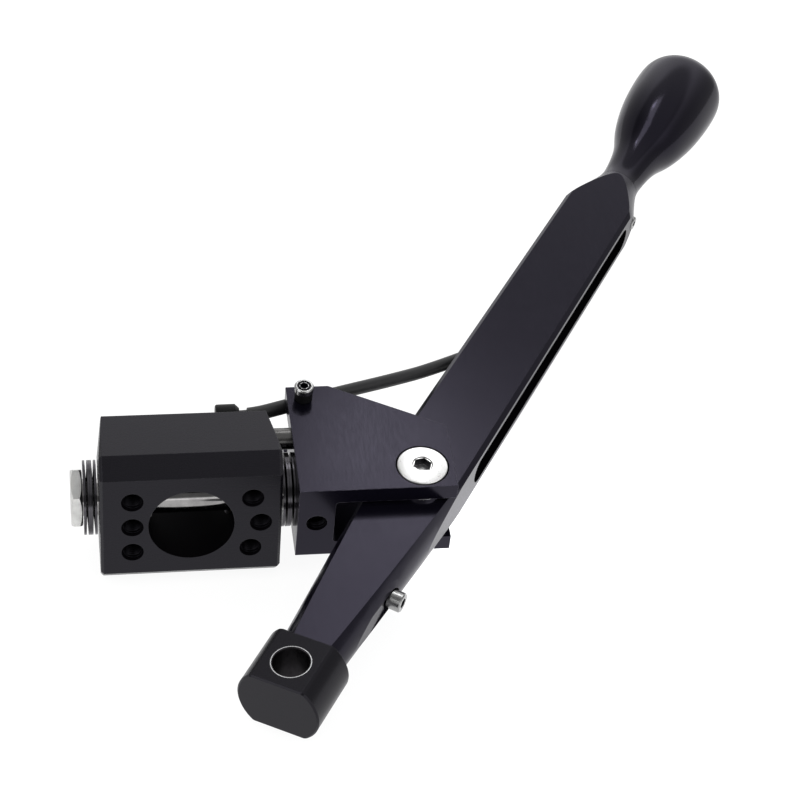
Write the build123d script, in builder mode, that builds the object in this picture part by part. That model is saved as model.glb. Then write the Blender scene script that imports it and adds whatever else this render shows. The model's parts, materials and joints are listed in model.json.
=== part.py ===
from build123d import *
import math
import os

# Short shifter, lying on its side as it would on a bench.
# Millimetres. Origin: on the cross shaft's axis at the bearing block's mid-length.
# +X runs along the cross shaft towards the lever, +Y away from the block's tapped
# face, +Z up.

os.makedirs("parts", exist_ok=True)

# ---------------------------------------------------------------- driving sizes
tilt = 7.5            # turn of the fork about the shaft, degrees
lever_lean = 32.9     # lever's angle to the fork's depth direction, degrees

# bearing block
block_len = 77.0
block_dep = 42.5
block_hgt = 66.5
block_bevel = 7.75
block_end_chamfer = 1.2
block_hole_r = 18.3
bush_bore_r = 9.52
tap_r = 4.0
tap_mouth_r = 4.75
tap_depth = 10.5
tap_left = [(-25.0, 13.75), (-25.0, 0.0), (-25.0, -13.75)]
tap_right = [(25.9, 13.6), (29.6, 0.0), (25.4, -13.9)]

# cross shaft and what is on it
shaft_r = 8.0
shaft_thread_r = 7.6
shaft_x0, shaft_x1 = -50.2, 60.0
bush_r_out, bush_r_in = 9.5, 8.04
nut_af, nut_thk, nut_x = 24.0, 5.0, -50.4
spring_r_out, spring_r_in = 16.1, 8.2
spring_t, spring_h = 1.0, 0.42
spring_left_x, spring_right_x = -45.05, 39.75

# fork
plate_out, plate_in = 20.25, 12.5
fork_x0, fork_x1, fork_x_slant, fork_x_end = 45.5, 61.5, 64.4, 113.7
fork_front, fork_back, fork_back_end = -20.6, 42.5, 15.6
web_back = 24.0
grub_x, grub_r = 53.8, 4.0
pin_r, pin_d, pin_p, pin_x0, pin_x1 = 4.75, 17.0, 14.0, 31.2, 58.0
clamp_screw_x, clamp_screw_d = 52.7, 35.5

# pivot
pivot_x, pivot_d = 99.8, -8.1
pivot_w = 1.3          # the pivot bore sits this far right of the lever's centreline
pivot_head_r = 10.95
pivot_shank_r = 5.0
spacer_r = 7.0
pivot_bush_r_in, pivot_bush_r_out = 7.05, 8.5

# lever, in its own frame: s along it, w across it, p its thickness
lever_half_t, bar_chamfer = 11.0, 2.0
lever_half_w0, lever_half_w1 = 18.35, 17.2     # at the pivot, at the top end
lever_s0, lever_s1 = -103.0, 246.0
slot_s0, slot_s1, slot_r = 23.0, 214.3, 6.4
spigot_r = 6.0
clamp_s = -57.8
side_flat_w = 14.5
top_screw_s = 224.6

# rod barrel
barrel_r, barrel_half = 18.3, 14.0
barrel_s0, barrel_s1 = -131.2, -103.3
barrel_turn = 5.9
barrel_bore_s = -118.0
barrel_bush_r_out, barrel_bush_r_in = 8.5, 7.5
barrel_bush_half = 13.85

# cable, round, held in the clamp under the upper fork plate
cable_r = 2.95
sleeve_r = 3.2
core_r = 2.3

relief_y0 = -13.4

# ---------------------------------------------------------------- frames
ca, sa = math.cos(math.radians(tilt)), math.sin(math.radians(tilt))
ct, st = math.cos(math.radians(lever_lean)), math.sin(math.radians(lever_lean))
cf, sf = math.cos(math.radians(barrel_turn)), math.sin(math.radians(barrel_turn))

X = Vector(1, 0, 0)
D = Vector(0, ca, sa)            # fork depth
P = Vector(0, -sa, ca)           # pivot bolt's axis
L = X * st + D * ct              # along the lever, towards the knob
W = X * ct - D * st              # across the lever


def fork_pt(x, d, p=0.0):
    return X * x + D * d + P * p


PIV = fork_pt(pivot_x, pivot_d)
AXIS = PIV - W * pivot_w         # lever's centreline at the pivot's height


def lev_pt(s, w, p=0.0):
    return AXIS + L * s + W * w + P * p


fork = Plane(origin=(0, 0, 0), x_dir=X, z_dir=P)         # local (x, d), normal p
lev = Plane(origin=AXIS, x_dir=W, z_dir=P)               # local (w, s), normal p
lever_axis = Axis(AXIS, L)


def across_lever(s):
    """Plane square to the lever at station s, normal towards the knob."""
    return Plane(origin=lev_pt(s, 0), x_dir=W, z_dir=L)


def save(part, name):
    part.label = name
    export_step(part, "parts/" + name + ".step")


# ================================================================ bearing block
pin_rad = math.hypot(pin_d, pin_p)
pin_ang = math.degrees(math.atan2(pin_d * sa + pin_p * ca, pin_d * ca - pin_p * sa))
a0, a1 = pin_ang - 18.2, pin_ang + 3.2
am = (a0 + a1) / 2
pin_clear = pin_r + 0.4


def pol(r, a):
    return (r * math.cos(math.radians(a)), r * math.sin(math.radians(a)))


with BuildPart() as bearing_block:
    with BuildSketch(Plane.YZ.offset(-block_len / 2)):
        Rectangle(block_dep, block_hgt)
        chamfer(vertices(), block_bevel)
    extrude(amount=block_len)
    chamfer(faces().filter_by(Axis.X).edges(), block_end_chamfer)
    # large hole through the depth
    with BuildSketch(Plane.XZ.offset(-block_dep)):
        Circle(block_hole_r)
    extrude(amount=2 * block_dep, mode=Mode.SUBTRACT)
    # bore for the shaft's bushes
    with BuildSketch(Plane.YZ.offset(-block_len)):
        Circle(bush_bore_r)
    extrude(amount=2 * block_len, mode=Mode.SUBTRACT)
    # six tapped holes with countersunk mouths in the front face
    for hx, hz in tap_left + tap_right:
        with BuildSketch(Plane(origin=(hx, 0, hz), x_dir=(1, 0, 0), z_dir=(0, 0, 1))):
            with BuildLine():
                y0 = -block_dep / 2
                Polyline(
                    (0, y0 - 1), (tap_mouth_r + 1, y0 - 1), (tap_mouth_r, y0),
                    (tap_r, y0 + 0.75), (tap_r, y0 + tap_depth),
                    (0, y0 + tap_depth + 0.9), (0, y0 - 1),
                )
            make_face()
        revolve(axis=Axis((hx, 0, hz), (0, 1, 0)), mode=Mode.SUBTRACT)
    # reliefs across the rear corners of both ends
    split(
        bisect_by=Plane(
            origin=(block_len / 2, relief_y0, block_hgt / 2), x_dir=(0, 0.83, -0.557), z_dir=(1, 0.1673, 0.2493)
        ),
        keep=Keep.BOTTOM,
    )
    split(
        bisect_by=Plane(
            origin=(-block_len / 2, relief_y0, block_hgt / 2), x_dir=(0, 0.771, -0.637), z_dir=(-1, 0.0743, 0.09)
        ),
        keep=Keep.BOTTOM,
    )
    # arc pocket in which the stop pin swings
    with BuildSketch(Plane.YZ.offset(pin_x0 - 0.8)):
        with BuildLine():
            ThreePointArc(pol(pin_rad + pin_clear, a0), pol(pin_rad + pin_clear, am), pol(pin_rad + pin_clear, a1))
            Line(pol(pin_rad + pin_clear, a1), pol(pin_rad - pin_clear, a1))
            ThreePointArc(pol(pin_rad - pin_clear, a1), pol(pin_rad - pin_clear, am), pol(pin_rad - pin_clear, a0))
            Line(pol(pin_rad - pin_clear, a0), pol(pin_rad + pin_clear, a0))
        make_face()
        with Locations(pol(pin_rad, a0), pol(pin_rad, a1)):
            Circle(pin_clear)
    extrude(amount=20, mode=Mode.SUBTRACT)
save(bearing_block.part, "bearing_block")

# plain bronze bushes for the cross shaft, one in each end wall
for side, x0, x1 in (("left", -38.3, -18.6), ("right", 18.6, 38.1)):
    with BuildPart() as bush:
        with BuildSketch(Plane.YZ.offset(x0)):
            Circle(bush_r_out)
            Circle(bush_r_in, mode=Mode.SUBTRACT)
        extrude(amount=x1 - x0)
        chamfer(edges().filter_by(GeomType.CIRCLE), 0.3)
    save(bush.part, "block_bush_" + side)

# ================================================================ cross shaft group
with BuildPart() as main_shaft:
    with BuildSketch(Plane.YZ.offset(shaft_x0)):
        Circle(shaft_thread_r)
    extrude(amount=4.8)
    with BuildSketch(Plane.YZ.offset(shaft_x0 + 4.8)):
        Circle(shaft_r)
    extrude(amount=shaft_x1 - shaft_x0 - 4.8)
    chamfer(edges().filter_by(GeomType.CIRCLE).sort_by(Axis.X)[0], 0.8)
    chamfer(edges().filter_by(GeomType.CIRCLE).sort_by(Axis.X)[-1], 0.6)
    # flat for the grub screw
    with BuildSketch(Plane(origin=fork_pt(grub_x, -shaft_r - 2), x_dir=X, z_dir=D)):
        Rectangle(9.5, 12)
    extrude(amount=2.45, mode=Mode.SUBTRACT)
save(main_shaft.part, "main_shaft")

with BuildPart() as lock_nut:
    with BuildSketch(Plane(origin=(nut_x, 0, 0), x_dir=(0, -1, 0), z_dir=(-1, 0, 0))):
        RegularPolygon(nut_af / 2, 6, major_radius=False, rotation=38)
        Circle(shaft_thread_r + 0.02, mode=Mode.SUBTRACT)
    extrude(amount=-nut_thk)
    # turned bevel on both faces
    with BuildSketch(Plane.XY):
        with BuildLine():
            Polyline(
                (nut_x, 0), (nut_x, 11.5), (nut_x + 1.3, 13.95), (nut_x + nut_thk - 1.3, 13.95),
                (nut_x + nut_thk, 11.5), (nut_x + nut_thk, 0), (nut_x, 0),
            )
        make_face()
    revolve(axis=Axis.X, mode=Mode.INTERSECT)
save(lock_nut.part, "lock_nut")


def disc_springs(name, x0):
    """Four conical discs in series: the rims of the two middle discs meet."""
    with BuildPart() as stack:
        with BuildSketch(Plane.XY):
            for k in range(4):
                xa = x0 + k * (spring_t + spring_h)
                rim, eye = (xa, xa + spring_h) if k % 2 == 0 else (xa + spring_h, xa)
                g = 0.015
                with BuildLine():
                    Polyline(
                        (rim + g, spring_r_out), (rim + spring_t - g, spring_r_out),
                        (eye + spring_t - g, spring_r_in), (eye + g, spring_r_in), (rim + g, spring_r_out),
                    )
                make_face()
        revolve(axis=Axis.X)
    save(stack.part, name)


disc_springs("disc_springs_left", spring_left_x)
disc_springs("disc_springs_right", spring_right_x)

# ================================================================ fork
with BuildPart() as clevis:
    # outline of the fork plates
    with BuildSketch(fork.offset(-plate_out)):
        with BuildLine():
            Polyline(
                (fork_x0, fork_front), (fork_x0, fork_back), (fork_x_slant, fork_back),
                (fork_x_end, fork_back_end), (fork_x_end, fork_front), (fork_x0, fork_front),
            )
        make_face()
    extrude(amount=2 * plate_out)
    # gap between the plates, open to the right, front and back
    with BuildSketch(fork.offset(-plate_in)):
        with BuildLine():
            Polyline(
                (fork_x1, fork_front - 5), (fork_x1, web_back), (fork_x0 - 5, web_back),
                (fork_x0 - 5, fork_back + 5), (fork_x_end + 5, fork_back + 5),
                (fork_x_end + 5, fork_front - 5), (fork_x1, fork_front - 5),
            )
        make_face()
    extrude(amount=2 * plate_in, mode=Mode.SUBTRACT)
    fillet(edges().filter_by(lambda e: abs(abs(e.center().Z * ca - e.center().Y * sa) - plate_in) < 0.02
                             and abs(e.center().X - fork_x1) < 0.02), 1.5)
    # shaft bore, blind
    with BuildSketch(Plane.YZ.offset(fork_x0 - 1)):
        Circle(shaft_r + 0.02)
    extrude(amount=shaft_x1 + 0.5 - fork_x0 + 1, mode=Mode.SUBTRACT)
    # tapped hole for the grub screw
    with BuildSketch(Plane(origin=fork_pt(grub_x, fork_front), x_dir=X, z_dir=D)):
        Circle(grub_r)
    extrude(amount=14, mode=Mode.SUBTRACT)
    with BuildSketch(Plane(origin=fork_pt(grub_x, fork_front), x_dir=X, z_dir=D)):
        Circle(grub_r + 0.6)
    extrude(amount=0.6, taper=45, mode=Mode.SUBTRACT)
    # stop pin bore
    with BuildSketch(Plane(origin=fork_pt(fork_x0 - 1, pin_d, pin_p), x_dir=D, z_dir=X)):
        Circle(pin_r + 0.02)
    extrude(amount=pin_x1 + 0.3 - fork_x0 + 1, mode=Mode.SUBTRACT)
    # pivot bolt holes and the recess for the bolt's head
    with BuildSketch(fork.offset(-plate_out - 1)):
        with Locations((pivot_x, pivot_d)):
            Circle(pivot_shank_r + 0.05)
    extrude(amount=2 * plate_out + 2, mode=Mode.SUBTRACT)
    with BuildSketch(fork.offset(plate_out - 1.4)):
        with Locations((pivot_x, pivot_d)):
            Circle(pivot_head_r + 0.65)
    extrude(amount=2.4, mode=Mode.SUBTRACT)
    # hole for the cable clamp's screw, upper plate only
    with BuildSketch(fork.offset(plate_in - 1)):
        with Locations((clamp_screw_x, clamp_screw_d)):
            Circle(2.6)
    extrude(amount=10, mode=Mode.SUBTRACT)
save(clevis.part, "clevis")

with BuildPart() as grub_screw:
    with BuildSketch(Plane(origin=fork_pt(grub_x, -7.6), x_dir=X, z_dir=-D)):
        Circle(grub_r - 0.03)
    extrude(amount=8)
    chamfer(edges().filter_by(GeomType.CIRCLE), 0.5)
    with BuildSketch(Plane(origin=fork_pt(grub_x, -15.6), x_dir=X, z_dir=D)):
        RegularPolygon(2.0, 6, major_radius=False)
    extrude(amount=4, mode=Mode.SUBTRACT)
save(grub_screw.part, "clevis_grub_screw")

with BuildPart() as stop_pin:
    with BuildSketch(Plane(origin=fork_pt(pin_x0, pin_d, pin_p), x_dir=D, z_dir=X)):
        Circle(pin_r)
    extrude(amount=pin_x1 - pin_x0)
    chamfer(edges().filter_by(GeomType.CIRCLE), 0.6)
save(stop_pin.part, "stop_pin")

# ---------------------------------------------------------------- cable and its clamp
# route: end fitting, bend, straight through the clamp, then down to the lever's slot
route = [(14.9, 37.0, 9.0), (31.0, 37.2, 9.0), (68.0, 48.6, 9.0), (95.0, 59.2, 5.6), (120.0, 71.0, 1.4), (159.2, 90.4, 0.0)]
pts = [fork_pt(*p) for p in route]
runs = [(b - a).length for a, b in zip(pts, pts[1:])]
radii = []
for i in range(1, len(pts) - 1):
    turn = (pts[i] - pts[i - 1]).get_angle(pts[i + 1] - pts[i])
    radii.append(0.45 * min(runs[i - 1], runs[i]) / math.tan(math.radians(turn / 2)))
print("cable radii", [round(r, 1) for r in radii], "diameter", 2 * cable_r)
with BuildLine() as cable_path:
    FilletPolyline(*pts, radius=radii)
print("cable route length", round(cable_path.wires()[0].length, 1))
clamp_dir = (pts[2] - pts[1]).normalized()
cut_a = pts[1] + (pts[2] - pts[1]) * 0.47       # sleeve ends, inside the clamp's left mouth
cut_face = Plane(origin=cut_a, z_dir=clamp_dir)
core_cut = Plane(origin=pts[0] + (pts[1] - pts[0]).normalized() * 13.6, z_dir=(pts[1] - pts[0]).normalized())
start = Plane(origin=pts[0], z_dir=(pts[1] - pts[0]).normalized())

with BuildPart() as cable:
    with BuildSketch(start):
        Circle(cable_r)
    sweep(path=cable_path.wires()[0])
    split(bisect_by=cut_face, keep=Keep.TOP)
    chamfer(edges().filter_by(GeomType.CIRCLE).sort_by(Axis.X)[-1], 0.5)
save(cable.part, "lockout_cable")

with BuildPart() as cable_sleeve:
    with BuildSketch(start):
        Circle(sleeve_r)
        Circle(core_r + 0.03, mode=Mode.SUBTRACT)
    sweep(path=cable_path.wires()[0])
    split(bisect_by=cut_face, keep=Keep.BOTTOM)
    split(bisect_by=core_cut, keep=Keep.TOP)
save(cable_sleeve.part, "cable_sleeve")

with BuildPart() as cable_core:
    with BuildSketch(start):
        Circle(core_r)
    sweep(path=cable_path.wires()[0])
    split(bisect_by=Plane(origin=cut_a - clamp_dir * 0.05, z_dir=clamp_dir), keep=Keep.BOTTOM)
    split(bisect_by=Plane(origin=pts[0] + (pts[1] - pts[0]).normalized() * 3.0, z_dir=(pts[1] - pts[0]).normalized()), keep=Keep.TOP)
save(cable_core.part, "cable_core")

with BuildPart() as end_fitting:
    with BuildSketch(Plane(origin=fork_pt(14.4, 37.0, 9.0), x_dir=D, z_dir=(pts[1] - pts[0]).normalized())):
        Circle(5.3)
    extrude(amount=10.4)
    chamfer(edges().filter_by(GeomType.CIRCLE).sort_by(Axis.X)[-1], 1.8)
    chamfer(edges().filter_by(GeomType.CIRCLE).sort_by(Axis.X)[0], 0.5)
    with BuildSketch(Plane(origin=fork_pt(17.8, 37.03, 9.0), x_dir=D, z_dir=(pts[1] - pts[0]).normalized())):
        Circle(core_r + 0.03)
    extrude(amount=12, mode=Mode.SUBTRACT)
save(end_fitting.part, "cable_end_fitting")

with BuildPart() as cable_clamp:
    with BuildSketch(fork.offset(2.6)):
        with BuildLine():
            Polyline((47.2, 30.5), (47.2, 46.6), (49.5, 48.6), (60.0, 48.6), (60.0, 30.5), (47.2, 30.5))
        make_face()
    extrude(amount=plate_in - 0.03 - 2.6)
    with BuildSketch(Plane(origin=cut_a - clamp_dir * 15, z_dir=clamp_dir)):
        Circle(cable_r + 0.05)
    extrude(amount=45, mode=Mode.SUBTRACT)
    with BuildSketch(Plane(origin=cut_a - clamp_dir * 15, z_dir=clamp_dir)):
        Circle(sleeve_r + 0.03)
    extrude(amount=15.02, mode=Mode.SUBTRACT)
    with BuildSketch(fork.offset(4.5)):
        with Locations((clamp_screw_x, clamp_screw_d)):
            Circle(2.52)
    extrude(amount=10, mode=Mode.SUBTRACT)
save(cable_clamp.part, "cable_clamp")


def cap_screw(name, origin, axis_out, x_dir, head_r, head_h, shank_r, length, af, recess=0.0, tip_r=0.0, tip_l=0.0):
    """Socket cap screw; origin under the head, axis pointing out of the head."""
    top = Plane(origin=origin, x_dir=x_dir, z_dir=axis_out)
    down = Plane(origin=origin, x_dir=x_dir, z_dir=-axis_out)
    with BuildPart() as screw:
        with BuildSketch(top):
            Circle(head_r)
        extrude(amount=head_h)
        rim = edges().filter_by(GeomType.CIRCLE).sort_by(Axis(origin, axis_out))[-1]
        chamfer(rim, 0.45)
        with BuildSketch(top.offset(head_h)):
            RegularPolygon(af / 2, 6, major_radius=False)
        extrude(amount=-head_h * 0.55, mode=Mode.SUBTRACT)
        with BuildSketch(down):
            Circle(shank_r)
        extrude(amount=length)
        if tip_l:
            with BuildSketch(down.offset(length)):
                Circle(tip_r)
            extrude(amount=tip_l)
    save(screw.part, name)


# the clamp's low-headed screw stands on a short black collar
collar_top = plate_out + 4.82
with BuildPart() as clamp_screw:
    at = fork_pt(clamp_screw_x, clamp_screw_d)
    with BuildSketch(Plane(origin=at, x_dir=X, z_dir=-D)):
        with BuildLine():
            q = collar_top + 0.03
            Polyline(
                (0, plate_in - 7.7), (2.0, plate_in - 7.7), (2.5, plate_in - 7.2), (2.5, q), (4.25, q), (4.25, q + 2.35),
                (3.8, q + 2.8), (3.05, q + 2.8), (3.05, q + 2.35), (2.15, q + 2.35), (2.15, q + 2.8), (0, q + 2.8),
                (0, plate_in - 7.7),
            )
        make_face()
    revolve(axis=Axis(at, P))
    with BuildSketch(Plane(origin=at + P * (collar_top + 2.83), x_dir=X, z_dir=P)):
        RegularPolygon(1.5, 6, major_radius=False)
    extrude(amount=-2.2, mode=Mode.SUBTRACT)
save(clamp_screw.part, "cable_clamp_screw")

with BuildPart() as collar:
    with BuildSketch(Plane(origin=fork_pt(clamp_screw_x, clamp_screw_d, plate_out + 0.02), x_dir=X, z_dir=P)):
        Circle(3.95)
        Circle(2.55, mode=Mode.SUBTRACT)
    extrude(amount=4.8)
    chamfer(edges().filter_by(GeomType.CIRCLE), 0.25)
save(collar.part, "clamp_screw_collar")

# ---------------------------------------------------------------- pivot bolt and stack
head_seat = plate_out - 1.38
with BuildPart() as pivot_bolt:
    with BuildSketch(Plane(origin=PIV, x_dir=X, z_dir=-D)):
        with BuildLine():
            Line((0, -plate_out - 7.6), (pivot_shank_r - 0.8, -plate_out - 7.6))
            Line((pivot_shank_r - 0.8, -plate_out - 7.6), (pivot_shank_r, -plate_out - 6.8))
            Line((pivot_shank_r, -plate_out - 6.8), (pivot_shank_r, head_seat))
            Line((pivot_shank_r, head_seat), (pivot_head_r, head_seat))
            Line((pivot_head_r, head_seat), (pivot_head_r, head_seat + 1.45))
            Line((pivot_head_r, head_seat + 1.45), (pivot_head_r - 0.4, head_seat + 1.75))
            ThreePointArc((pivot_head_r - 0.4, head_seat + 1.75), (8.0, head_seat + 2.18), (5.2, head_seat + 2.4))
            Line((5.2, head_seat + 2.4), (4.5, head_seat + 2.4))
            Line((4.5, head_seat + 2.4), (4.1, head_seat + 2.0))
            Line((4.1, head_seat + 2.0), (0, head_seat + 2.0))
            Line((0, head_seat + 2.0), (0, -plate_out - 7.6))
        make_face()
    revolve(axis=Axis(PIV, P))
    with BuildSketch(Plane(origin=PIV + P * (head_seat + 2.0), x_dir=X, z_dir=P)):
        RegularPolygon(3.5, 6, major_radius=False, rotation=12)
    extrude(amount=-3.6, mode=Mode.SUBTRACT)
save(pivot_bolt.part, "pivot_bolt")


def ring(name, r_out, r_in, p0, p1, ch=0.0):
    with BuildPart() as r:
        with BuildSketch(Plane(origin=PIV + P * p0, x_dir=X, z_dir=P)):
            Circle(r_out)
            Circle(r_in, mode=Mode.SUBTRACT)
        extrude(amount=p1 - p0)
        if ch:
            chamfer(edges().filter_by(GeomType.CIRCLE), ch)
    save(r.part, name)


ring("pivot_spacer", spacer_r, pivot_shank_r + 0.03, -plate_in + 0.02, plate_in - 0.02, 0.2)
ring("pivot_bush", pivot_bush_r_out, pivot_bush_r_in, -lever_half_t, lever_half_t, 0.2)
ring("pivot_washer_upper", 12.7, 7.1, lever_half_t + 0.03, lever_half_t + 1.4)
ring("pivot_washer_lower", 12.7, 7.1, -lever_half_t - 1.4, -lever_half_t - 0.03)
ring("pivot_nut_washer", 10.0, pivot_shank_r + 0.1, -plate_out - 1.92, -plate_out - 0.02, 0.2)
with BuildPart() as pivot_nut:
    with BuildSketch(Plane(origin=PIV + P * (-plate_out - 1.94), x_dir=X, z_dir=-P)):
        RegularPolygon(8.5, 6, major_radius=False)
    extrude(amount=5.2)
    with BuildSketch(Plane(origin=PIV, x_dir=X, z_dir=-D)):
        with BuildLine():
            q = -plate_out - 1.94
            Polyline((0, q), (8.6, q), (9.9, q - 0.7), (9.9, q - 4.5), (8.6, q - 5.2), (0, q - 5.2), (0, q))
        make_face()
    revolve(axis=Axis(PIV, P), mode=Mode.INTERSECT)
    with BuildSketch(Plane(origin=PIV + P * (-plate_out - 9), x_dir=X, z_dir=P)):
        Circle(pivot_shank_r + 0.03)
    extrude(amount=10, mode=Mode.SUBTRACT)
save(pivot_nut.part, "pivot_nut")

# ================================================================ lever
with BuildPart() as lever:
    # flat bar, a little narrower towards the knob, with bevelled long edges
    with BuildSketch(lev.offset(-lever_half_t)):
        with BuildLine():
            wider = lever_half_w0 + (lever_half_w0 - lever_half_w1) * -lever_s0 / lever_s1
            Polyline(
                (-wider, lever_s0), (wider, lever_s0), (lever_half_w1, lever_s1),
                (-lever_half_w1, lever_s1), (-wider, lever_s0),
            )
        make_face()
    extrude(amount=2 * lever_half_t)
    chamfer(
        edges().filter_by(lambda e: abs(abs((e.center() - AXIS).dot(W)) - (lever_half_w0 + lever_half_w1) / 2) < 1.0
                          and abs(abs((e.center() - AXIS).dot(P)) - lever_half_t) < 0.1),
        bar_chamfer,
    )
    # turned outline: cone at the lower end, trumpet at the top end
    with BuildSketch(lev):
        with BuildLine():
            Polyline(
                (0, lever_s0), (13.1, lever_s0), (13.6, lever_s0 + 0.5), (18.2, -31), (21.2, 22), (21.2, 200),
            )
            Spline(
                (21.2, 200), (20.3, 212), (18.9, 219.3), (15.5, 230), (12.4, 239.5), (10.75, lever_s1),
                tangents=[(0, 1), (-0.2, 1)],
            )
            Polyline((10.75, lever_s1), (0, lever_s1), (0, lever_s0))
        make_face()
    revolve(axis=lever_axis, mode=Mode.INTERSECT)
    # pivot bore
    with BuildSketch(Plane(origin=PIV - P * (lever_half_t + 1), x_dir=X, z_dir=P)):
        Circle(pivot_bush_r_out + 0.02)
    extrude(amount=2 * lever_half_t + 2, mode=Mode.SUBTRACT)
    # long slot through the lever's width
    with BuildSketch(Plane(origin=lev_pt(0, 0), x_dir=L, z_dir=W)):
        with Locations(((slot_s0 + slot_s1) / 2, 0)):
            SlotOverall(slot_s1 - slot_s0, 2 * slot_r)
    extrude(amount=22, both=True, mode=Mode.SUBTRACT)
    # bores in both ends for the knob stud and the barrel's spigot
    with BuildSketch(across_lever(216.8)):
        Circle(5.02)
    extrude(amount=40, mode=Mode.SUBTRACT)
    with BuildSketch(across_lever(lever_s0 - 1)):
        Circle(spigot_r + 0.06)
    extrude(amount=62.5, mode=Mode.SUBTRACT)
    # side screws: the lower one in a counterbore that runs out as a flat, the upper one sunk
    with BuildSketch(Plane(origin=lev_pt(clamp_s, 0), x_dir=L, z_dir=W)):
        Circle(2.52)
    extrude(amount=20, mode=Mode.SUBTRACT)
    with BuildSketch(Plane(origin=lev_pt(clamp_s, 12.8), x_dir=L, z_dir=W)):
        Circle(5.1)
    extrude(amount=10, mode=Mode.SUBTRACT)
    with BuildSketch(Plane(origin=lev_pt(clamp_s - 15, side_flat_w), x_dir=L, z_dir=W)):
        SlotCenterToCenter(30, 10.2)
    extrude(amount=8, mode=Mode.SUBTRACT)
    with BuildSketch(Plane(origin=lev_pt(top_screw_s, 0), x_dir=L, z_dir=W)):
        Circle(2.02)
    extrude(amount=20, mode=Mode.SUBTRACT)
    with BuildSketch(Plane(origin=lev_pt(top_screw_s, 12.6), x_dir=L, z_dir=W)):
        Circle(3.8)
    extrude(amount=10, mode=Mode.SUBTRACT)
save(lever.part, "lever")

cap_screw("lever_clamp_screw", lev_pt(clamp_s, 15.0), W, L, 4.35, 6.0, 2.5, 8.3, 4.0, tip_r=2.0, tip_l=1.9)
cap_screw("lever_top_screw", lev_pt(top_screw_s, 12.62), W, L, 3.4, 5.2, 2.0, 7.3, 2.5)

with BuildPart() as knob_stud:
    with BuildSketch(across_lever(217.2)):
        Circle(5.0)
    extrude(amount=284 - 217.2)
    chamfer(edges().filter_by(GeomType.CIRCLE), 0.6)
save(knob_stud.part, "knob_stud")

with BuildPart() as knob:
    with BuildSketch(lev):
        with BuildLine():
            Line((5.03, lever_s1 + 0.05), (10.74, lever_s1 + 0.05))
            Spline(
                (10.74, lever_s1 + 0.05), (10.2, 251), (10.4, 258), (11.35, 267), (13.4, 277), (17.15, 288),
                (20.25, 300), (22.2, 312), (23.15, 324), (23.3, 336), (22.2, 343), (18.6, 348.4), (13.0, 351.6),
                (6.1, 353.5), (0, 354.0),
                tangents=[(-0.16, 1), (-1, 0)],
            )
            Line((0, 354.0), (0, 285))
            Line((0, 285), (5.03, 285))
            Line((5.03, 285), (5.03, lever_s1 + 0.05))
        make_face()
    revolve(axis=lever_axis)
save(knob.part, "knob")

# ================================================================ rod barrel
bw = W * cf + P * sf
bp = P * cf - W * sf
with BuildPart() as rod_barrel:
    with BuildSketch(Plane(origin=lev_pt(barrel_s0, 0), x_dir=bw, z_dir=L)):
        Circle(barrel_r)
        Rectangle(4 * barrel_r, 2 * barrel_half, mode=Mode.INTERSECT)
    extrude(amount=barrel_s1 - barrel_s0)
    chamfer(edges(), 0.7)
    # spigot with the groove that the clamp screw's point runs in
    with BuildSketch(Plane(origin=lev_pt(barrel_s1, 0), x_dir=bw, z_dir=L)):
        Circle(spigot_r)
    extrude(amount=58)
    with BuildSketch(Plane(origin=lev_pt(clamp_s - 2.4, 0), x_dir=bw, z_dir=L)):
        Circle(spigot_r + 1)
        Circle(4.6, mode=Mode.SUBTRACT)
    extrude(amount=4.8, mode=Mode.SUBTRACT)
    # cross bore
    with BuildSketch(Plane(origin=lev_pt(barrel_bore_s, 0), x_dir=bw, z_dir=bp)):
        Circle(barrel_bush_r_out + 0.02)
    extrude(amount=20, both=True, mode=Mode.SUBTRACT)
save(rod_barrel.part, "rod_barrel")

with BuildPart() as barrel_bush:
    with BuildSketch(Plane(origin=lev_pt(barrel_bore_s, 0) - bp * barrel_bush_half, x_dir=bw, z_dir=bp)):
        Circle(barrel_bush_r_out)
        Circle(barrel_bush_r_in, mode=Mode.SUBTRACT)
    extrude(amount=2 * barrel_bush_half)
    chamfer(edges().filter_by(GeomType.CIRCLE).filter_by(lambda e: e.radius < barrel_bush_r_out - 0.5), 0.45)
save(barrel_bush.part, "rod_barrel_bush")
print("pivot mm", PIV, "lever axis", L, "pivot axis", P)
print("bore centre", lev_pt(barrel_bore_s, 0), "bore axis", bp)
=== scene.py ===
import bpy, bmesh, json, math, random
from mathutils import Vector, Matrix


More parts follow.
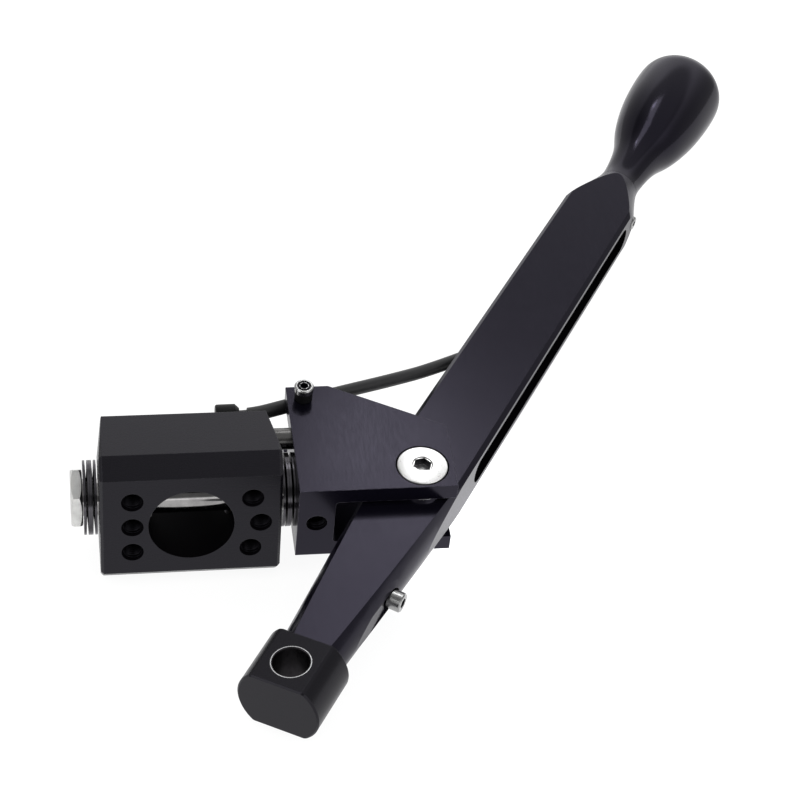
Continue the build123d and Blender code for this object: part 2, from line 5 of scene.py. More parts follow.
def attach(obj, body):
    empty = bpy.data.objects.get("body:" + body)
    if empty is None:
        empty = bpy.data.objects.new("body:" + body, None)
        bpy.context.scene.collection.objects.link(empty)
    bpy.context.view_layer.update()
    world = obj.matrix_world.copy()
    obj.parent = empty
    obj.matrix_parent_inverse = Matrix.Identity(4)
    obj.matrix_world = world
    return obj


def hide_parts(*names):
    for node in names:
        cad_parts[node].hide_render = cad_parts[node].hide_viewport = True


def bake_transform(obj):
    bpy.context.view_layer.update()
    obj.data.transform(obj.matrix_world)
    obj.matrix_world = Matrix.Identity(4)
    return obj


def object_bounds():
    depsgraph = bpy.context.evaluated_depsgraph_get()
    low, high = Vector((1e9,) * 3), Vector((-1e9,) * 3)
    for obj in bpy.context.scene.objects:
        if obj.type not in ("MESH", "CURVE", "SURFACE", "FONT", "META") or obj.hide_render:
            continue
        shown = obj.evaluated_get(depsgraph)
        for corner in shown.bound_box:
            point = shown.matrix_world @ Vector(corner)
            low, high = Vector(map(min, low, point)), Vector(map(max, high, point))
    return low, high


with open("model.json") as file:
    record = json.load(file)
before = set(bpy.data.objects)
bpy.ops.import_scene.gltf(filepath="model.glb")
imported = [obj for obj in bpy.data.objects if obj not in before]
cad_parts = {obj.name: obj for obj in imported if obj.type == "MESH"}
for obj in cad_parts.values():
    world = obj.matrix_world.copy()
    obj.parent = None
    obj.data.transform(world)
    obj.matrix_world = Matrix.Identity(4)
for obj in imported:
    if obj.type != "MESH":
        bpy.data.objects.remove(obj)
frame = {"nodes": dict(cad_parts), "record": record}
cad_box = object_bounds()
nodes = frame["nodes"]
scene = bpy.context.scene
MM = 0.001

# ------------------------------------------------------------------ frames of the part
tilt, lean, turn = math.radians(7.5), math.radians(32.9), math.radians(5.9)
X = Vector((1, 0, 0))
D = Vector((0, math.cos(tilt), math.sin(tilt)))
P = Vector((0, -math.sin(tilt), math.cos(tilt)))
L = X * math.sin(lean) + D * math.cos(lean)
W = X * math.cos(lean) - D * math.sin(lean)
PIV = X * 99.8 + D * -8.1
AXIS = PIV - W * 1.3


def fork_pt(x, d, p=0.0):
    return (X * x + D * d + P * p) * MM


def lev_pt(s, w, p=0.0):
    return (AXIS + L * s + W * w + P * p) * MM


# ------------------------------------------------------------------ camera
cam_data = bpy.data.cameras.new("camera")
cam = bpy.data.objects.new("camera", cam_data)
scene.collection.objects.link(cam)
scene.camera = cam
R = ((0.9871974640485425, -0.14461897181356562, 0.06727941711782236),
     (-0.03478955942034639, -0.6068789474600106, -0.7940325117305764),
     (0.155662627279206, 0.7815262606729328, -0.6041405882301886))
T = (-91.67117115429387, 40.33397480502831, 946.5306432593289)
C = [-sum(R[k][i] * T[k] for k in range(3)) for i in range(3)]
cam_data.sensor_fit = "HORIZONTAL"
cam_data.sensor_width = 36.0
cam_data.lens = 2187.229340685426 / 800 * 36.0
cam_data.clip_start, cam_data.clip_end = 0.05, 20
rot = Matrix(((R[0][0], -R[1][0], -R[2][0]), (R[0][1], -R[1][1], -R[2][1]), (R[0][2], -R[1][2], -R[2][2])))
cam.matrix_world = Matrix.Translation(Vector(C) * MM) @ rot.to_4x4()


# ------------------------------------------------------------------ node helpers
def new_mat(name):
    m = bpy.data.materials.new(name)
    m.use_nodes = True
    nt = m.node_tree
    for n in list(nt.nodes):
        nt.nodes.remove(n)
    out = nt.nodes.new("ShaderNodeOutputMaterial")
    b = nt.nodes.new("ShaderNodeBsdfPrincipled")
    nt.links.new(b.outputs[0], out.inputs[0])
    return m, nt, b


def tex_coord(nt, scale=(1, 1, 1), rot=(0, 0, 0)):
    tc = nt.nodes.new("ShaderNodeTexCoord")
    mp = nt.nodes.new("ShaderNodeMapping")
    mp.inputs["Scale"].default_value = scale
    mp.inputs["Rotation"].default_value = rot
    nt.links.new(tc.outputs["Object"], mp.inputs["Vector"])
    return mp.outputs[0]


def noise(nt, vec, scale, detail=3.0, rough=0.55):
    n = nt.nodes.new("ShaderNodeTexNoise")
    n.inputs["Scale"].default_value = scale
    n.inputs["Detail"].default_value = detail
    n.inputs["Roughness"].default_value = rough
    nt.links.new(vec, n.inputs["Vector"])
    return n.outputs["Fac"]


def remap(nt, val, lo, hi, a=0.3, b=0.7):
    r = nt.nodes.new("ShaderNodeMapRange")
    r.inputs["From Min"].default_value = a
    r.inputs["From Max"].default_value = b
    r.inputs["To Min"].default_value = lo
    r.inputs["To Max"].default_value = hi
    nt.links.new(val, r.inputs["Value"])
    return r.outputs[0]


def mixc(nt, fac, c1, c2):
    m = nt.nodes.new("ShaderNodeMix")
    m.data_type = "RGBA"
    m.inputs["A"].default_value = (*c1, 1)
    m.inputs["B"].default_value = (*c2, 1)
    nt.links.new(fac, m.inputs["Factor"])
    return m.outputs["Result"]


def add_bump(nt, b, heights, strength=0.1, dist=0.0002, normal=None):
    """heights: list of (socket, weight)"""
    acc = None
    for h, wgt in heights:
        mul = nt.nodes.new("ShaderNodeMath")
        mul.operation = "MULTIPLY"
        mul.inputs[1].default_value = wgt
        nt.links.new(h, mul.inputs[0])
        if acc is None:
            acc = mul.outputs[0]
        else:
            s = nt.nodes.new("ShaderNodeMath")
            s.operation = "ADD"
            nt.links.new(acc, s.inputs[0])
            nt.links.new(mul.outputs[0], s.inputs[1])
            acc = s.outputs[0]
    bp = nt.nodes.new("ShaderNodeBump")
    bp.inputs["Strength"].default_value = strength
    bp.inputs["Distance"].default_value = dist
    nt.links.new(acc, bp.inputs["Height"])
    if normal is not None:
        nt.links.new(normal, bp.inputs["Normal"])
    nt.links.new(bp.outputs[0], b.inputs["Normal"])


def soft_edge(nt, radius):
    """Rounded-edge normal, and a mask that is 1 on the very edge."""
    bv = nt.nodes.new("ShaderNodeBevel")
    bv.samples = 6
    bv.inputs["Radius"].default_value = radius
    geo = nt.nodes.new("ShaderNodeNewGeometry")
    dot = nt.nodes.new("ShaderNodeVectorMath")
    dot.operation = "DOT_PRODUCT"
    nt.links.new(bv.outputs[0], dot.inputs[0])
    nt.links.new(geo.outputs["Normal"], dot.inputs[1])
    mask = remap(nt, dot.outputs["Value"], 1.0, 0.0, 0.90, 0.995)
    return bv.outputs[0], mask


def anodised(name, base, rough, along, edge_wear_and_highlight=0.5, bump=0.05, spec=0.5, tint=(1, 1, 1), edge=0.00022, worn_and_highlight_colour=(0.10, 0.10, 0.105)):
    """Black anodised aluminium: faint cutter lines along one direction, faint cloudiness, paler edges that are partly
    wear and partly a painted highlight.
    """
    m, nt, b = new_mat(name)
    v = tex_coord(nt)
    lines = tex_coord(nt, scale=along)
    cloud = noise(nt, v, 18.0, 2.0)
    fine = noise(nt, lines, 1100.0, 2.0, 0.6)
    grain = noise(nt, v, 5200.0, 2.0)
    normal, mask = soft_edge(nt, edge)
    col = mixc(nt, remap(nt, cloud, 0, 1), base, tuple(c * 1.22 for c in base))
    grit = remap(nt, noise(nt, v, 420.0, 4.0), 0.25, 1.0, 0.40, 0.62)
    # pale colour on the very edge, broken up by grit: partly edge wear, partly a painted highlight along the edges
    em = nt.nodes.new("ShaderNodeMath")
    em.operation = "MULTIPLY"
    nt.links.new(mask, em.inputs[0])
    nt.links.new(grit, em.inputs[1])
    em2 = nt.nodes.new("ShaderNodeMath")
    em2.operation = "MULTIPLY"
    em2.inputs[1].default_value = edge_wear_and_highlight
    nt.links.new(em.outputs[0], em2.inputs[0])
    mx = nt.nodes.new("ShaderNodeMix")
    mx.data_type = "RGBA"
    mx.inputs["B"].default_value = (*worn_and_highlight_colour, 1)
    nt.links.new(col, mx.inputs["A"])
    nt.links.new(em2.outputs[0], mx.inputs["Factor"])
    nt.links.new(mx.outputs["Result"], b.inputs["Base Color"])
    r1 = remap(nt, cloud, rough * 0.95, rough * 1.06)
    rr = nt.nodes.new("ShaderNodeMath")
    rr.operation = "ADD"
    nt.links.new(r1, rr.inputs[0])
    nt.links.new(remap(nt, fine, -0.018, 0.022), rr.inputs[1])
    nt.links.new(rr.outputs[0], b.inputs["Roughness"])
    b.inputs["IOR"].default_value = 1.5
    b.inputs["Specular IOR Level"].default_value = spec
    b.inputs["Specular Tint"].default_value = (*tint, 1)
    add_bump(nt, b, [(fine, 1.0), (grain, 0.3)], bump, 0.00002, normal)
    return m


def metal(name, base, rough, along=(1, 1, 1), bump=0.15, fine_scale=1200.0, dark=0.75):
    """Turned or ground steel: fine lines, uneven polish, faint oil film."""
    m, nt, b = new_mat(name)
    v = tex_coord(nt)
    lines = tex_coord(nt, scale=along)
    fine = noise(nt, lines, fine_scale, 3.0, 0.6)
    cloud = noise(nt, v, 160.0, 4.0)
    col = mixc(nt, remap(nt, cloud, 0, 1), base, tuple(c * dark for c in base))
    nt.links.new(col, b.inputs["Base Color"])
    b.inputs["Metallic"].default_value = 1.0
    r1 = remap(nt, fine, rough * 0.75, rough * 1.35)
    nt.links.new(r1, b.inputs["Roughness"])
    normal, mask = soft_edge(nt, 0.00018)
    add_bump(nt, b, [(fine, 1.0), (cloud, 0.4)], bump, 0.00003, normal)
    return m


def rubber(name, base, rough, bump=0.3, scale=1500.0, spec=0.5):
    m, nt, b = new_mat(name)
    v = tex_coord(nt)
    cloud = noise(nt, v, 90.0, 4.0)
    grain = noise(nt, v, scale, 3.0)
    nt.links.new(mixc(nt, remap(nt, cloud, 0, 1), base, tuple(c * 1.6 + 0.004 for c in base)), b.inputs["Base Color"])
    nt.links.new(remap(nt, cloud, rough * 0.9, rough * 1.15), b.inputs["Roughness"])
    b.inputs["Specular IOR Level"].default_value = spec
    add_bump(nt, b, [(grain, 1.0), (cloud, 0.5)], bump, 0.00008)
    return m


M = {}
VIO = (0.76, 0.70, 1.0)
GREY = (0.88, 0.85, 1.0)
M["block"] = anodised("black_anodised_block", (0.0045, 0.0042, 0.0058), 0.27, (0.05, 1, 1), bump=0.022, tint=GREY, spec=0.47, edge=0.00045)
# the fork's edges get a strong pale edge colour: a painted highlight along its edges on top of wear
M["violet"] = anodised("black_anodised_fork", (0.0042, 0.0036, 0.0078), 0.20, (1, 0.05, 1), tint=VIO, spec=0.48, edge=0.0004, edge_wear_and_highlight=1.0, worn_and_highlight_colour=(0.20, 0.19, 0.23))
M["lever"] = anodised("black_anodised_lever", (0.0042, 0.0036, 0.0078), 0.20, (0.6, 0.06, 1), tint=VIO, spec=0.48)
M["barrel"] = anodised("black_anodised_barrel", (0.0060, 0.0056, 0.0072), 0.24, (1, 1, 0.1), tint=GREY, spec=0.42)
M["knob"] = anodised("black_polished_knob", (0.0030, 0.0026, 0.0050), 0.13, (1, 0.3, 1), bump=0.012, edge_wear_and_highlight=0.0, tint=VIO, spec=0.44)
# near-black, barely glossy materials for hole walls, slot walls and threads: painted shade in recesses
M["hollow"] = anodised("painted_shade_hollow", (0.0014, 0.0010, 0.0018), 0.62, (1, 1, 1), edge_wear_and_highlight=0.0, tint=GREY, spec=0.035)
M["thread"] = anodised("painted_shade_thread", (0.0022, 0.0018, 0.0030), 0.38, (1, 1, 1), edge_wear_and_highlight=0.0, tint=GREY, spec=0.22)
M["stainless"] = metal("stainless_turned", (0.78, 0.78, 0.775), 0.24, (1, 1, 0.12), 0.10, 1500.0, 0.85)
M["bolt"] = metal("stainless_bolt", (0.93, 0.93, 0.925), 0.34, (1, 1, 0.2), 0.12, 1200.0, 0.95)
# near-black metal for sockets and grooves in screw heads: painted shade in these recesses
M["socket"] = metal("socket_painted_shade", (0.035, 0.034, 0.038), 0.32, (1, 1, 1), 0.2, 900.0, 0.7)
M["cap"] = metal("stainless_cap", (0.50, 0.50, 0.50), 0.22, (1, 1, 0.12), 0.12, 1500.0, 0.7)
M["nut"] = metal("stainless_hex", (0.76, 0.76, 0.75), 0.40, (0.15, 1, 1), 0.12, 1100.0, 0.85)
M["shaft"] = metal("ground_shaft", (0.50, 0.49, 0.49), 0.12, (0.2, 1, 1), 0.012, 800.0, 0.7)
M["pin"] = metal("polished_pin", (0.19, 0.187, 0.185), 0.24, (0.15, 1, 1), 0.10, 1400.0, 0.7)
M["spring"] = metal("spring_steel", (0.155, 0.150, 0.165), 0.17, (0.2, 1, 1), 0.12, 1500.0, 0.5)
M["washer"] = metal("thrust_washer", (0.93, 0.93, 0.92), 0.12, (1, 1, 0.2), 0.06, 1500.0, 0.92)
M["bush"] = metal("lined_bush", (0.75, 0.75, 0.76), 0.25, (1, 1, 0.2), 0.06, 1500.0, 0.9)
# dark metal for the bush's bore wall: painted shade inside the bore
M["bush_bore"] = metal("bush_bore_painted_shade", (0.050, 0.046, 0.052), 0.36, (1, 1, 0.2), 0.3, 1200.0, 0.6)
M["bronze"] = metal("sintered_bronze", (0.52, 0.36, 0.17), 0.38, (1, 1, 1), 0.3, 2200.0, 0.7)
M["black_steel"] = metal("black_oxide", (0.035, 0.034, 0.036), 0.35, (1, 1, 1), 0.25, 900.0, 0.7)
M["cable"] = rubber("cable_jacket", (0.0240, 0.0240, 0.0260), 0.42, spec=0.62)
M["fitting"] = rubber("fitting_plastic", (0.0045, 0.0045, 0.0050), 0.42, 0.2, 1900.0, 0.25)
# near-black material for insides, painted shade; not assigned to any piece
M["inside"] = rubber("inside_painted_shade", (0.004, 0.004, 0.0045), 0.55, 0.2, 1500.0, 0.2)

BODY = {n: b for b, ns in frame["record"]["behaviour"]["bodies"].items() for n in ns}


def dress(node, mat, angle=13.0, ratio=7.0, name=None, other=None, where=None):
    """A piece with the node's own shape. Flat faces stay flat right up to the curved ones that they meet."""
    bm = bmesh.new()
    bm.from_mesh(nodes[node].data)
    bmesh.ops.remove_doubles(bm, verts=bm.verts, dist=2e-6)
    bm.faces.ensure_lookup_table()
    bm.faces.index_update()
    region, area = [-1] * len(bm.faces), []
    for f in bm.faces:
        if region[f.index] >= 0:
            continue
        k, stack, total, nrm = len(area), [f], 0.0, f.normal.copy()
        region[f.index] = k
        while stack:
            g = stack.pop()
            total += g.calc_area()
            for e in g.edges:
                for h in e.link_faces:
                    if region[h.index] < 0 and h.normal.dot(nrm) > 0.999995:
                        region[h.index] = k
                        stack.append(h)
        area.append(total * 1e6)
    for f in bm.faces:
        f.smooth = True
        if where is not None and where(f.calc_center_median() / MM, f.normal):
            f.material_index = 1
    for e in bm.edges:
        if len(e.link_faces) != 2:
            continue
        p, q = (region[f.index] for f in e.link_faces)
        big, small = max(area[p], area[q]), min(area[p], area[q])
        a = math.degrees(e.calc_face_angle(0.0))
        e.smooth = not (a > angle or (p != q and a > 0.3 and big > 14.0 and big > ratio * small))
    me = bpy.data.meshes.new((name or node) + "_skin")
    bm.to_mesh(me)
    bm.free()
    o = bpy.data.objects.new((name or node) + "_finish", me)
    scene.collection.objects.link(o)
    me.materials.append(mat)
    if other is not None:
        me.materials.append(other)
    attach(o, BODY[node])
    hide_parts(node)
    return o


def keep(node, mat):
    o = nodes[node]
    o.data.materials.clear()
    o.data.materials.append(mat)
    return o


def in_block_holes(c, nrm):
    """The large hole's wall and the six tapped holes."""
    if abs(nrm.y) < 0.12 and abs(nrm.x) < 0.999 and abs(c.y) < 21.4 and math.hypot(c.x, c.z) < 19.4:
        return True
    for hx, hz in ((-25.0, 13.75), (-25.0, 0.0), (-25.0, -13.75), (25.9, 13.6), (29.6, 0.0), (25.4, -13.9)):
        if math.hypot(c.x - hx, c.z - hz) < 4.7 and c.y > -21.2 and c.y < -9:
            return True
    return False


def in_fork_hole(c, nrm):
    """The grub screw's hole in the fork's web."""
    q = c - D * c.dot(D)
    return math.hypot(q.x - 53.8, q.dot(P)) < 4.55 and -20.55 < c.dot(D) < -9


def in_bush(c, nrm):
    q = c - AXIS - L * -118.0
    q = q - BP * q.dot(BP)
    return abs(nrm.dot(BP)) < 0.9 and q.length < 8.6


def in_slot(c, nrm):
    """Walls of the lever's slot and of its bores."""
    q = c - AXIS
    s_, w_, p_ = q.dot(L), q.dot(W), q.dot(P)
    return 22.0 < s_ < 215.0 and abs(p_) < 6.45 and abs(nrm.dot(W)) < 0.5 and abs(w_) < 18.6


def in_bolt_socket(c, nrm):
    q = c - PIV
    return math.hypot(q.dot(X), q.dot(D)) < 4.25 and q.dot(P) > 15 and abs(nrm.dot(P)) < 0.9


def in_clamp_screw(c, nrm):
    """The groove and the socket in the clamp screw's head."""
    q = c - X * 52.7 - D * 35.5
    rad, up_ = math.hypot(q.dot(X), q.dot(D)), q.dot(P)
    return up_ > 22.0 and (rad < 1.85 or (2.1 < rad < 3.1 and up_ < 27.88))


def in_side_screw(c, nrm):
    """Sockets of the two screws in the lever's side."""
    for s_ in (-57.8, 224.6):
        q = c - AXIS - L * s_
        if math.hypot(q.dot(L), q.dot(P)) < 2.4 and q.dot(W) > 13.5 and abs(nrm.dot(W)) < 0.9:
            return True
    return False


def in_clevis_hollows(c, nrm):
    q = c - PIV
    if math.hypot(q.dot(X), q.dot(D)) < 11.75 and q.dot(P) < 20.2 and q.dot(P) > 5:
        return True
    return in_fork_hole(c, nrm)


turn_dir = W * math.cos(turn) + P * math.sin(turn)
BP = P * math.cos(turn) - W * math.sin(turn)

for n, m in (
    ("knob", "knob"), ("lock_nut", "nut"), ("pivot_nut", "stainless"), ("rod_barrel", "barrel"),
    ("clamp_screw_collar", "fitting"),
    ("disc_springs_left", "spring"), ("disc_springs_right", "spring"), ("cable_clamp", "fitting"),
    ("cable_end_fitting", "fitting"), ("clevis_grub_screw", "black_steel"), ("stop_pin", "pin"),
    ("block_bush_left", "bronze"), ("block_bush_right", "bronze"),     ("cable_sleeve", "cable"), ("cable_core", "cable"), ("pivot_spacer", "shaft"), ("pivot_nut_washer", "washer"),
    ("pivot_bush", "bronze"), ("pivot_washer_upper", "washer"), ("pivot_washer_lower", "washer"), ("knob_stud", "shaft"),
):
    dress(n, M[m])
# faces picked by the where-tests (hole walls, counterbores, sockets, the screw groove, slot walls, the bush bore)
# take the second, darker material: painted shade in recesses
dress("bearing_block", M["block"], other=M["hollow"], where=in_block_holes)
dress("clevis", M["violet"], other=M["hollow"], where=in_clevis_hollows)
dress("pivot_bolt", M["bolt"], other=M["socket"], where=in_bolt_socket)
dress("main_shaft", M["shaft"])
dress("cable_clamp_screw", M["cap"], other=M["socket"], where=in_clamp_screw)
dress("lever_clamp_screw", M["cap"], other=M["socket"], where=in_side_screw)
dress("lever_top_screw", M["cap"], other=M["socket"], where=in_side_screw)
dress("lever", M["lever"], other=M["hollow"], where=in_slot)
dress("rod_barrel_bush", M["bush"], other=M["bush_bore"], where=in_bush)

# ------------------------------------------------------------------ cable: one smooth run from the clamp to the lever's slot
ROUTE = ((31.0, 37.2, 9.0), (68.0, 48.6, 9.0), (95.0, 59.2, 5.6), (120.0, 71.0, 1.4), (159.2, 90.4, 0.0))
first = fork_pt(*ROUTE[0]).lerp(fork_pt(*ROUTE[1]), 0.474)
way = [first] + [fork_pt(*q) for q in ROUTE[1:]]
cu = bpy.data.curves.new("cable_way", "CURVE")
cu.dimensions = "3D"
sp = cu.splines.new("NURBS")
sp.points.add(len(way) - 1)
for q, w in zip(sp.points, way):
    q.co = (*w, 1)
sp.order_u = 3
sp.use_endpoint_u = True
sp.resolution_u = 24
cu_ob = bpy.data.objects.new("cable_way", cu)
scene.collection.objects.link(cu_ob)
bpy.context.view_layer.update()
wire = bpy.data.meshes.new_from_object(cu_ob)
line = [v.co.copy() for v in wire.vertices]
bpy.data.objects.remove(cu_ob)
bpy.data.meshes.remove(wire)


def tube(name, pts, radius, seg=28, ends=0.35):
    """A closed round tube along a line of points, with its ends slightly rounded."""
    bm = bmesh.new()
    up_dir = Vector(P)
    rows = []
    stations = [(0, radius - ends * MM), (0, radius)] + [(k, radius) for k in range(1, len(pts) - 1)] + [(len(pts) - 1, radius), (len(pts) - 1, radius - ends * MM)]
    for n_, (k, r) in enumerate(stations):
        t = (pts[min(k + 1, len(pts) - 1)] - pts[max(k - 1, 0)]).normalized()
        side = t.cross(up_dir).normalized()
        top = side.cross(t)
        c = pts[k]
        if n_ == 0:
            c = c
        elif n_ == 1:
            c = c + t * ends * MM
        elif n_ == len(stations) - 2:
            c = c - t * ends * MM
        rows.append([bm.verts.new(c + (side * math.cos(2 * math.pi * i / seg) + top * math.sin(2 * math.pi * i / seg)) * r) for i in range(seg)])
    for a, b_ in zip(rows, rows[1:]):
        for i in range(seg):
            bm.faces.new((a[i], a[(i + 1) % seg], b_[(i + 1) % seg], b_[i]))
    bm.faces.new(rows[0][::-1])
    bm.faces.new(rows[-1])
    for f in bm.faces:
        f.smooth = len(f.verts) == 4
    bmesh.ops.recalc_face_normals(bm, faces=bm.faces)
    me = bpy.data.meshes.new(name)
    bm.to_mesh(me)
    bm.free()
    o = bpy.data.objects.new(name, me)
    scene.collection.objects.link(o)
    return o


cable = tube("lockout_cable_run", line, 2.95 * MM)
cable.data.materials.append(M["cable"])
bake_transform(cable)
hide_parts("lockout_cable")

# ------------------------------------------------------------------ threads in the tapped holes
def thread(name, centre, axis, side, r_out, r_in, pitch, depth, body, mat, seg=36):
    """A closed helical ridge of triangular section, standing in from a hole's wall."""
    third = axis.cross(side)
    bm = bmesh.new()
    turns = depth / pitch
    steps = int(turns * seg)
    rows = []
    for k in range(steps + 1):
        a = 2 * math.pi * k / seg
        d_ = side * math.cos(a) + third * math.sin(a)
        z = pitch * k / seg
        grow = min(1.0, k / (seg * 0.5), (steps - k) / (seg * 0.5)) * 0.96 + 0.04
        row = []
        for rr, dz in ((r_out, -0.47 * pitch), (r_out - (r_out - r_in) * grow, 0.0), (r_out, 0.47 * pitch)):
            row.append(bm.verts.new(centre + d_ * (rr * MM) + axis * ((z + dz) * MM)))
        rows.append(row)
    for a, b_ in zip(rows, rows[1:]):
        for i in range(3):
            bm.faces.new((a[i], b_[i], b_[(i + 1) % 3], a[(i + 1) % 3]))
    bm.faces.new(rows[0])
    bm.faces.new(rows[-1][::-1])
    bmesh.ops.recalc_face_normals(bm, faces=bm.faces)
    me = bpy.data.meshes.new(name)
    bm.to_mesh(me)
    bm.free()
    me.materials.append(mat)
    o = bpy.data.objects.new(name, me)
    scene.collection.objects.link(o)
    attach(o, body)
    return o


for tag, hx, hz in (
    ("left_top", -25.0, 13.75), ("left_middle", -25.0, 0.0), ("left_bottom", -25.0, -13.75),
    ("right_top", 25.9, 13.6), ("right_middle", 29.6, 0.0), ("right_bottom", 25.4, -13.9),
):
    thread("thread_" + tag, Vector((hx, -19.9, hz)) * MM, Vector((0, 1, 0)), Vector((1, 0, 0)), 4.0, 3.45, 1.25, 8.1,
           "block", M["thread"])
thread("thread_fork", fork_pt(53.8, -19.4, 0), Vector(D), Vector(X), 4.0, 3.45, 1.25, 3.2,
       "fork", M["thread"])

# ------------------------------------------------------------------ floor and light
floor_z = min(cad_box[0][2], -33.25 * MM) - 0.00002
bm = bmesh.new()
n = 24
for i in range(n + 1):
    for j in range(n + 1):
        bm.verts.new((-3 + 6 * i / n, -3 + 6 * j / n, floor_z))
bm.verts.ensure_lookup_table()
for i in range(n):
    for j in range(n):
        a = i * (n + 1) + j
        bm.faces.new((bm.verts[a], bm.verts[a + n + 1], bm.verts[a + n + 2], bm.verts[a + 1]))
fm = bpy.data.meshes.new("floor")
bm.to_mesh(fm)
bm.free()
floor = bpy.data.objects.new("floor", fm)
scene.collection.objects.link(floor)
m, nt, b = new_mat("pale_floor")
b.inputs["Base Color"].default_value = (0.16, 0.16, 0.16, 1)
b.inputs["Roughness"].default_value = 0.9
b.inputs["Specular IOR Level"].default_value = 0.1
b.inputs["Emission Color"].default_value = (1, 1, 1, 1)
# the floor glows brightest near a point right of the object and less further out: a painted pool of light
v = tex_coord(nt)
light_pool_distance = nt.nodes.new("ShaderNodeVectorMath")
light_pool_distance.operation = "DISTANCE"
light_pool_distance.inputs[1].default_value = (0.155, 0.0, floor_z)
nt.links.new(v, light_pool_distance.inputs[0])
nt.links.new(remap(nt, light_pool_distance.outputs["Value"], 0.95, 0.56, 0.02, 0.085), b.inputs["Emission Strength"])
fm.materials.append(m)

world = bpy.data.worlds.new("world")
scene.world = world
world.use_nodes = True
wt = world.node_tree
for nd in list(wt.nodes):
    wt.nodes.remove(nd)
wo = wt.nodes.new("ShaderNodeOutputWorld")
bg = wt.nodes.new("ShaderNodeBackground")
wt.links.new(bg.outputs[0], wo.inputs[0])
tc = wt.nodes.new("ShaderNodeTexCoord")
sep = wt.nodes.new("ShaderNodeSeparateXYZ")
wt.links.new(tc.outputs["Generated"], sep.inputs[0])
# a white backdrop low down, a dim band above it; the front-to-back factor is left flat at 1.0
up = wt.nodes.new("ShaderNodeMapRange")
up.interpolation_type = "SMOOTHSTEP"
up.inputs["From Min"].default_value = 0.615
up.inputs["From Max"].default_value = 0.72
up.inputs["To Min"].default_value = 0.94
up.inputs["To Max"].default_value = 0.42
wt.links.new(sep.outputs["Z"], up.inputs["Value"])
back = wt.nodes.new("ShaderNodeMapRange")
back.interpolation_type = "SMOOTHSTEP"
back.inputs["From Min"].default_value = -0.5
back.inputs["From Max"].default_value = 0.6
back.inputs["To Min"].default_value = 1.0
back.inputs["To Max"].default_value = 1.0
wt.links.new(sep.outputs["Y"], back.inputs["Value"])
mr = wt.nodes.new("ShaderNodeMath")
mr.operation = "MULTIPLY"
wt.links.new(up.outputs[0], mr.inputs[0])
wt.links.new(back.outputs[0], mr.inputs[1])
# darker at both sides
left = wt.nodes.new("ShaderNodeMapRange")
left.interpolation_type = "SMOOTHSTEP"
left.inputs["From Min"].default_value = 0.02
left.inputs["From Max"].default_value = -0.42
left.inputs["To Min"].default_value = 1.0
left.inputs["To Max"].default_value = 0.36
wt.links.new(sep.outputs["X"], left.inputs["Value"])
right = wt.nodes.new("ShaderNodeMapRange")
right.interpolation_type = "SMOOTHSTEP"
right.inputs["From Min"].default_value = 0.55
right.inputs["From Max"].default_value = 0.95
right.inputs["To Min"].default_value = 1.0
right.inputs["To Max"].default_value = 0.30
wt.links.new(sep.outputs["X"], right.inputs["Value"])
flank = wt.nodes.new("ShaderNodeMath")
flank.operation = "MULTIPLY"
wt.links.new(left.outputs[0], flank.inputs[0])
wt.links.new(right.outputs[0], flank.inputs[1])
mr2 = wt.nodes.new("ShaderNodeMath")
mr2.operation = "MULTIPLY"
wt.links.new(mr.outputs[0], mr2.inputs[0])
wt.links.new(flank.outputs[0], mr2.inputs[1])
near = wt.nodes.new("ShaderNodeVectorMath")
near.operation = "DOT_PRODUCT"
near.inputs[1].default_value = (0.0, -0.880, 0.475)
wt.links.new(tc.outputs["Generated"], near.inputs[0])
dusk = wt.nodes.new("ShaderNodeMapRange")
dusk.interpolation_type = "SMOOTHSTEP"
dusk.inputs["From Min"].default_value = 0.925
dusk.inputs["From Max"].default_value = 0.972
dusk.inputs["To Min"].default_value = 1.0
dusk.inputs["To Max"].default_value = 0.14
wt.links.new(near.outputs["Value"], dusk.inputs["Value"])
mr3 = wt.nodes.new("ShaderNodeMath")
mr3.operation = "MULTIPLY"
wt.links.new(mr2.outputs[0], mr3.inputs[0])
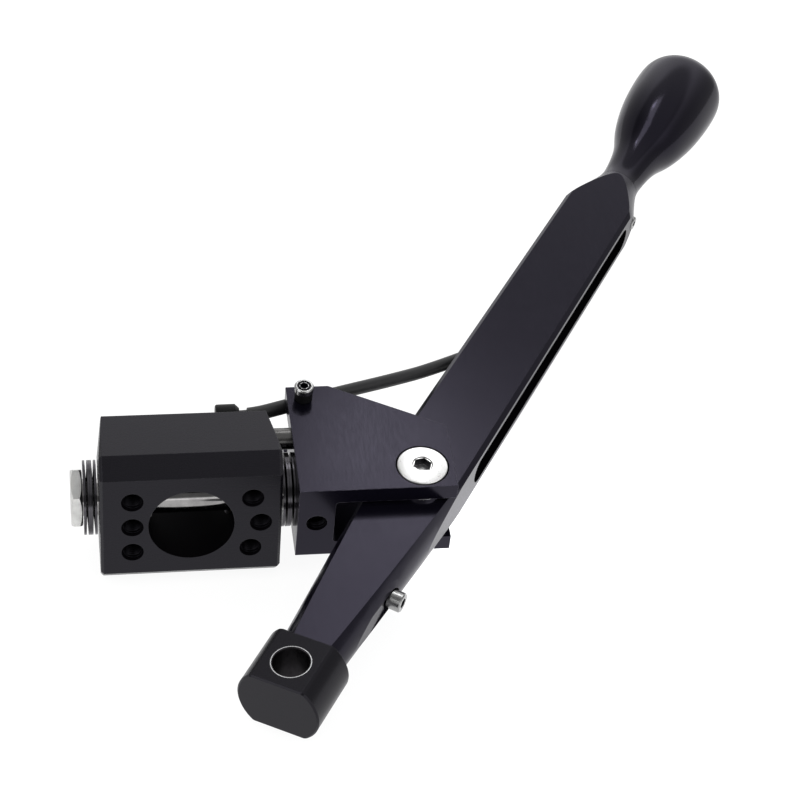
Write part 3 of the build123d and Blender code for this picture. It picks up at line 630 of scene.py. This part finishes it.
wt.links.new(dusk.outputs[0], mr3.inputs[1])
mr = mr3
cr = wt.nodes.new("ShaderNodeCombineColor")
for k in ("Red", "Green", "Blue"):
    wt.links.new(mr.outputs[0], cr.inputs[k])
wt.links.new(cr.outputs[0], bg.inputs["Color"])
bg.inputs["Strength"].default_value = 1.0


def area(name, loc, target, size, power, colour=(1, 1, 1)):
    ld = bpy.data.lights.new(name, "AREA")
    ld.shape = "RECTANGLE"
    ld.size, ld.size_y = size
    ld.energy = power
    ld.color = colour
    o = bpy.data.objects.new(name, ld)
    scene.collection.objects.link(o)
    o.location = loc
    o.visible_camera = False
    o.rotation_euler = (Vector(target) - Vector(loc)).to_track_quat("-Z", "Y").to_euler()
    return o


# the overhead softbox is where the fork's upper plate mirrors it to the camera
eye = Vector(C) * MM
spot = fork_pt(84, 14, 20.25)
ray = (spot - eye).normalized()
ray = ray - P * (2 * ray.dot(P))
flat = Vector((ray.x, ray.y, 0)).normalized()
aim = math.radians(63.0)
across = Vector((flat.y, -flat.x, 0))
box_dir = (flat * math.cos(aim) + Vector((0, 0, 1)) * math.sin(aim) + across * 0.030).normalized()
area("overhead", tuple(spot + box_dir * 1.2), tuple(spot), (0.25, 0.50), 0.53)
hot = (flat * math.cos(math.radians(53.0)) + Vector((0, 0, 1)) * math.sin(math.radians(53.0))).normalized()
area("overhead_core", tuple(spot + hot * 1.15), tuple(spot), (0.10, 0.07), 0.070)
area("fill", (-1.3, -0.6, 1.0), (0.0, 0.0, 0), (1.0, 1.0), 3)

scene.view_settings.view_transform = "Standard"
scene.view_settings.look = "None"
scene.view_settings.exposure = 0.0
scene.view_settings.gamma = 1.0
# the pale floor is printed as white, the dark tones stay as they are
scene.view_settings.use_curve_mapping = True
cm = scene.view_settings.curve_mapping
curve = cm.curves[3]
curve.points[0].location = (0.0, 0.0)
curve.points[1].location = (0.60, 1.0)
curve.points.new(0.10, 0.10)
curve.points.new(0.30, 0.37)
for pt in curve.points:
    pt.handle_type = "VECTOR"
cm.update()
